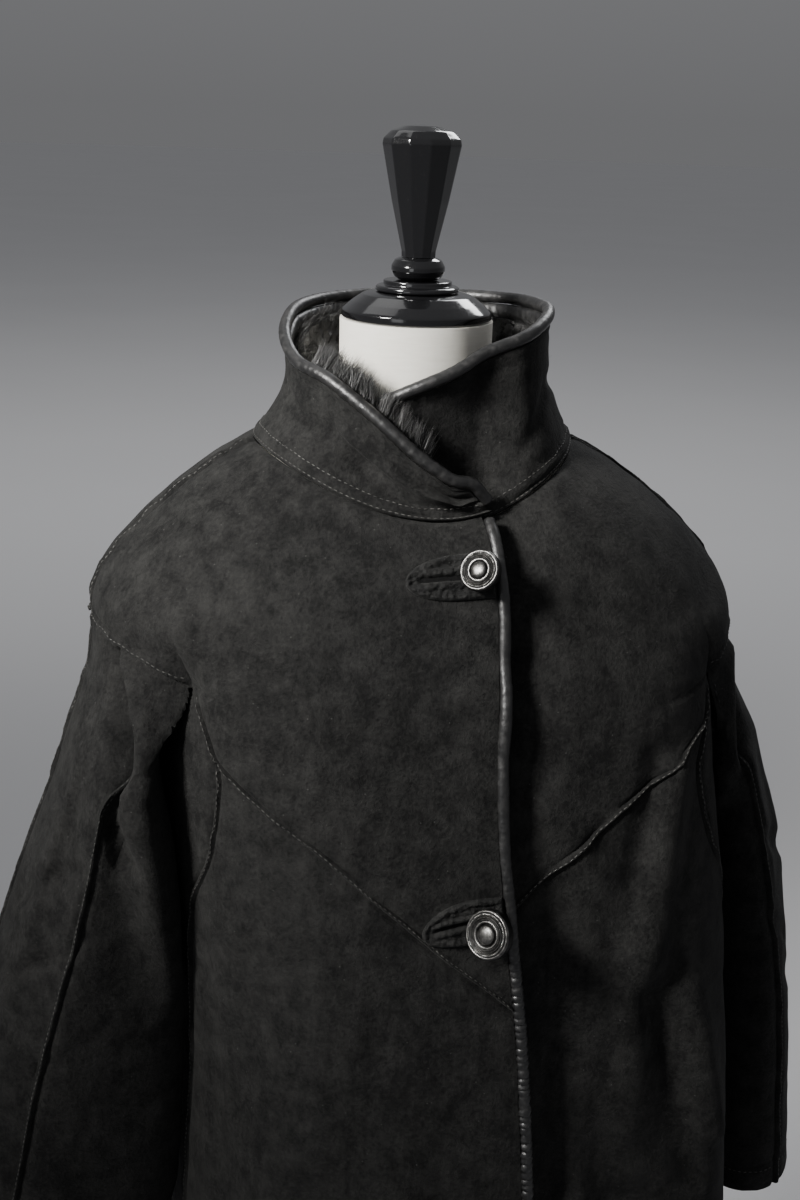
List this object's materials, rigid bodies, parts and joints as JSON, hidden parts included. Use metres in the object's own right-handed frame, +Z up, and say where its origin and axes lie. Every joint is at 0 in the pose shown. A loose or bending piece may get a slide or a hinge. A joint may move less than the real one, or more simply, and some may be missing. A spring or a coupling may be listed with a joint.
{
  "type": "shearling coat on a dress form",
  "caption": "Knee-length dark suede shearling coat with a high fur-lined collar, pointed yokes and loose sleeves, worn by a limbless linen dress form on a pole stand.",
  "frame": {"origin": "middle of the stand's flat underside, on the floor", "axes": "+Z up, the coat's front faces -Y, the wearer's left side is at +X"},
  "size_m": [0.782, 0.4428, 1.6349],
  "materials": {
    "suede": "napped matte suede",
    "binding_leather": "glossy wrinkled grain",
    "fur": "long sheepskin pile",
    "button_metal": "worn plated metal",
    "form_linen": "tight matte linen",
    "black_lacquer": "glossy black lacquer"
  },
  "bodies": {
    "root": {"front_yoke_right": "suede", "front_yoke_left": "suede", "front_lower_right": "suede", "front_lower_left": "suede", "side_right": "suede", "side_left": "suede", "back_yoke": "suede", "back_lower": "suede", "sleeve_right_front": "suede", "sleeve_right_back": "suede", "sleeve_left_front": "suede", "sleeve_left_back": "suede", "collar": "suede", "buttonhole_patch_1": "suede", "buttonhole_patch_2": "suede", "buttonhole_patch_3": "suede", "collar_fur": "fur", "collar_binding": "binding_leather", "front_binding": "binding_leather", "button_1": "button_metal", "button_2": "button_metal", "button_3": "button_metal", "form_body": "form_linen", "neck_cap": "black_lacquer", "cap_discs": "black_lacquer", "cap_ring": "black_lacquer", "handle": "black_lacquer", "pole": "black_lacquer", "base": "black_lacquer"}
  },
  "joints": []
}
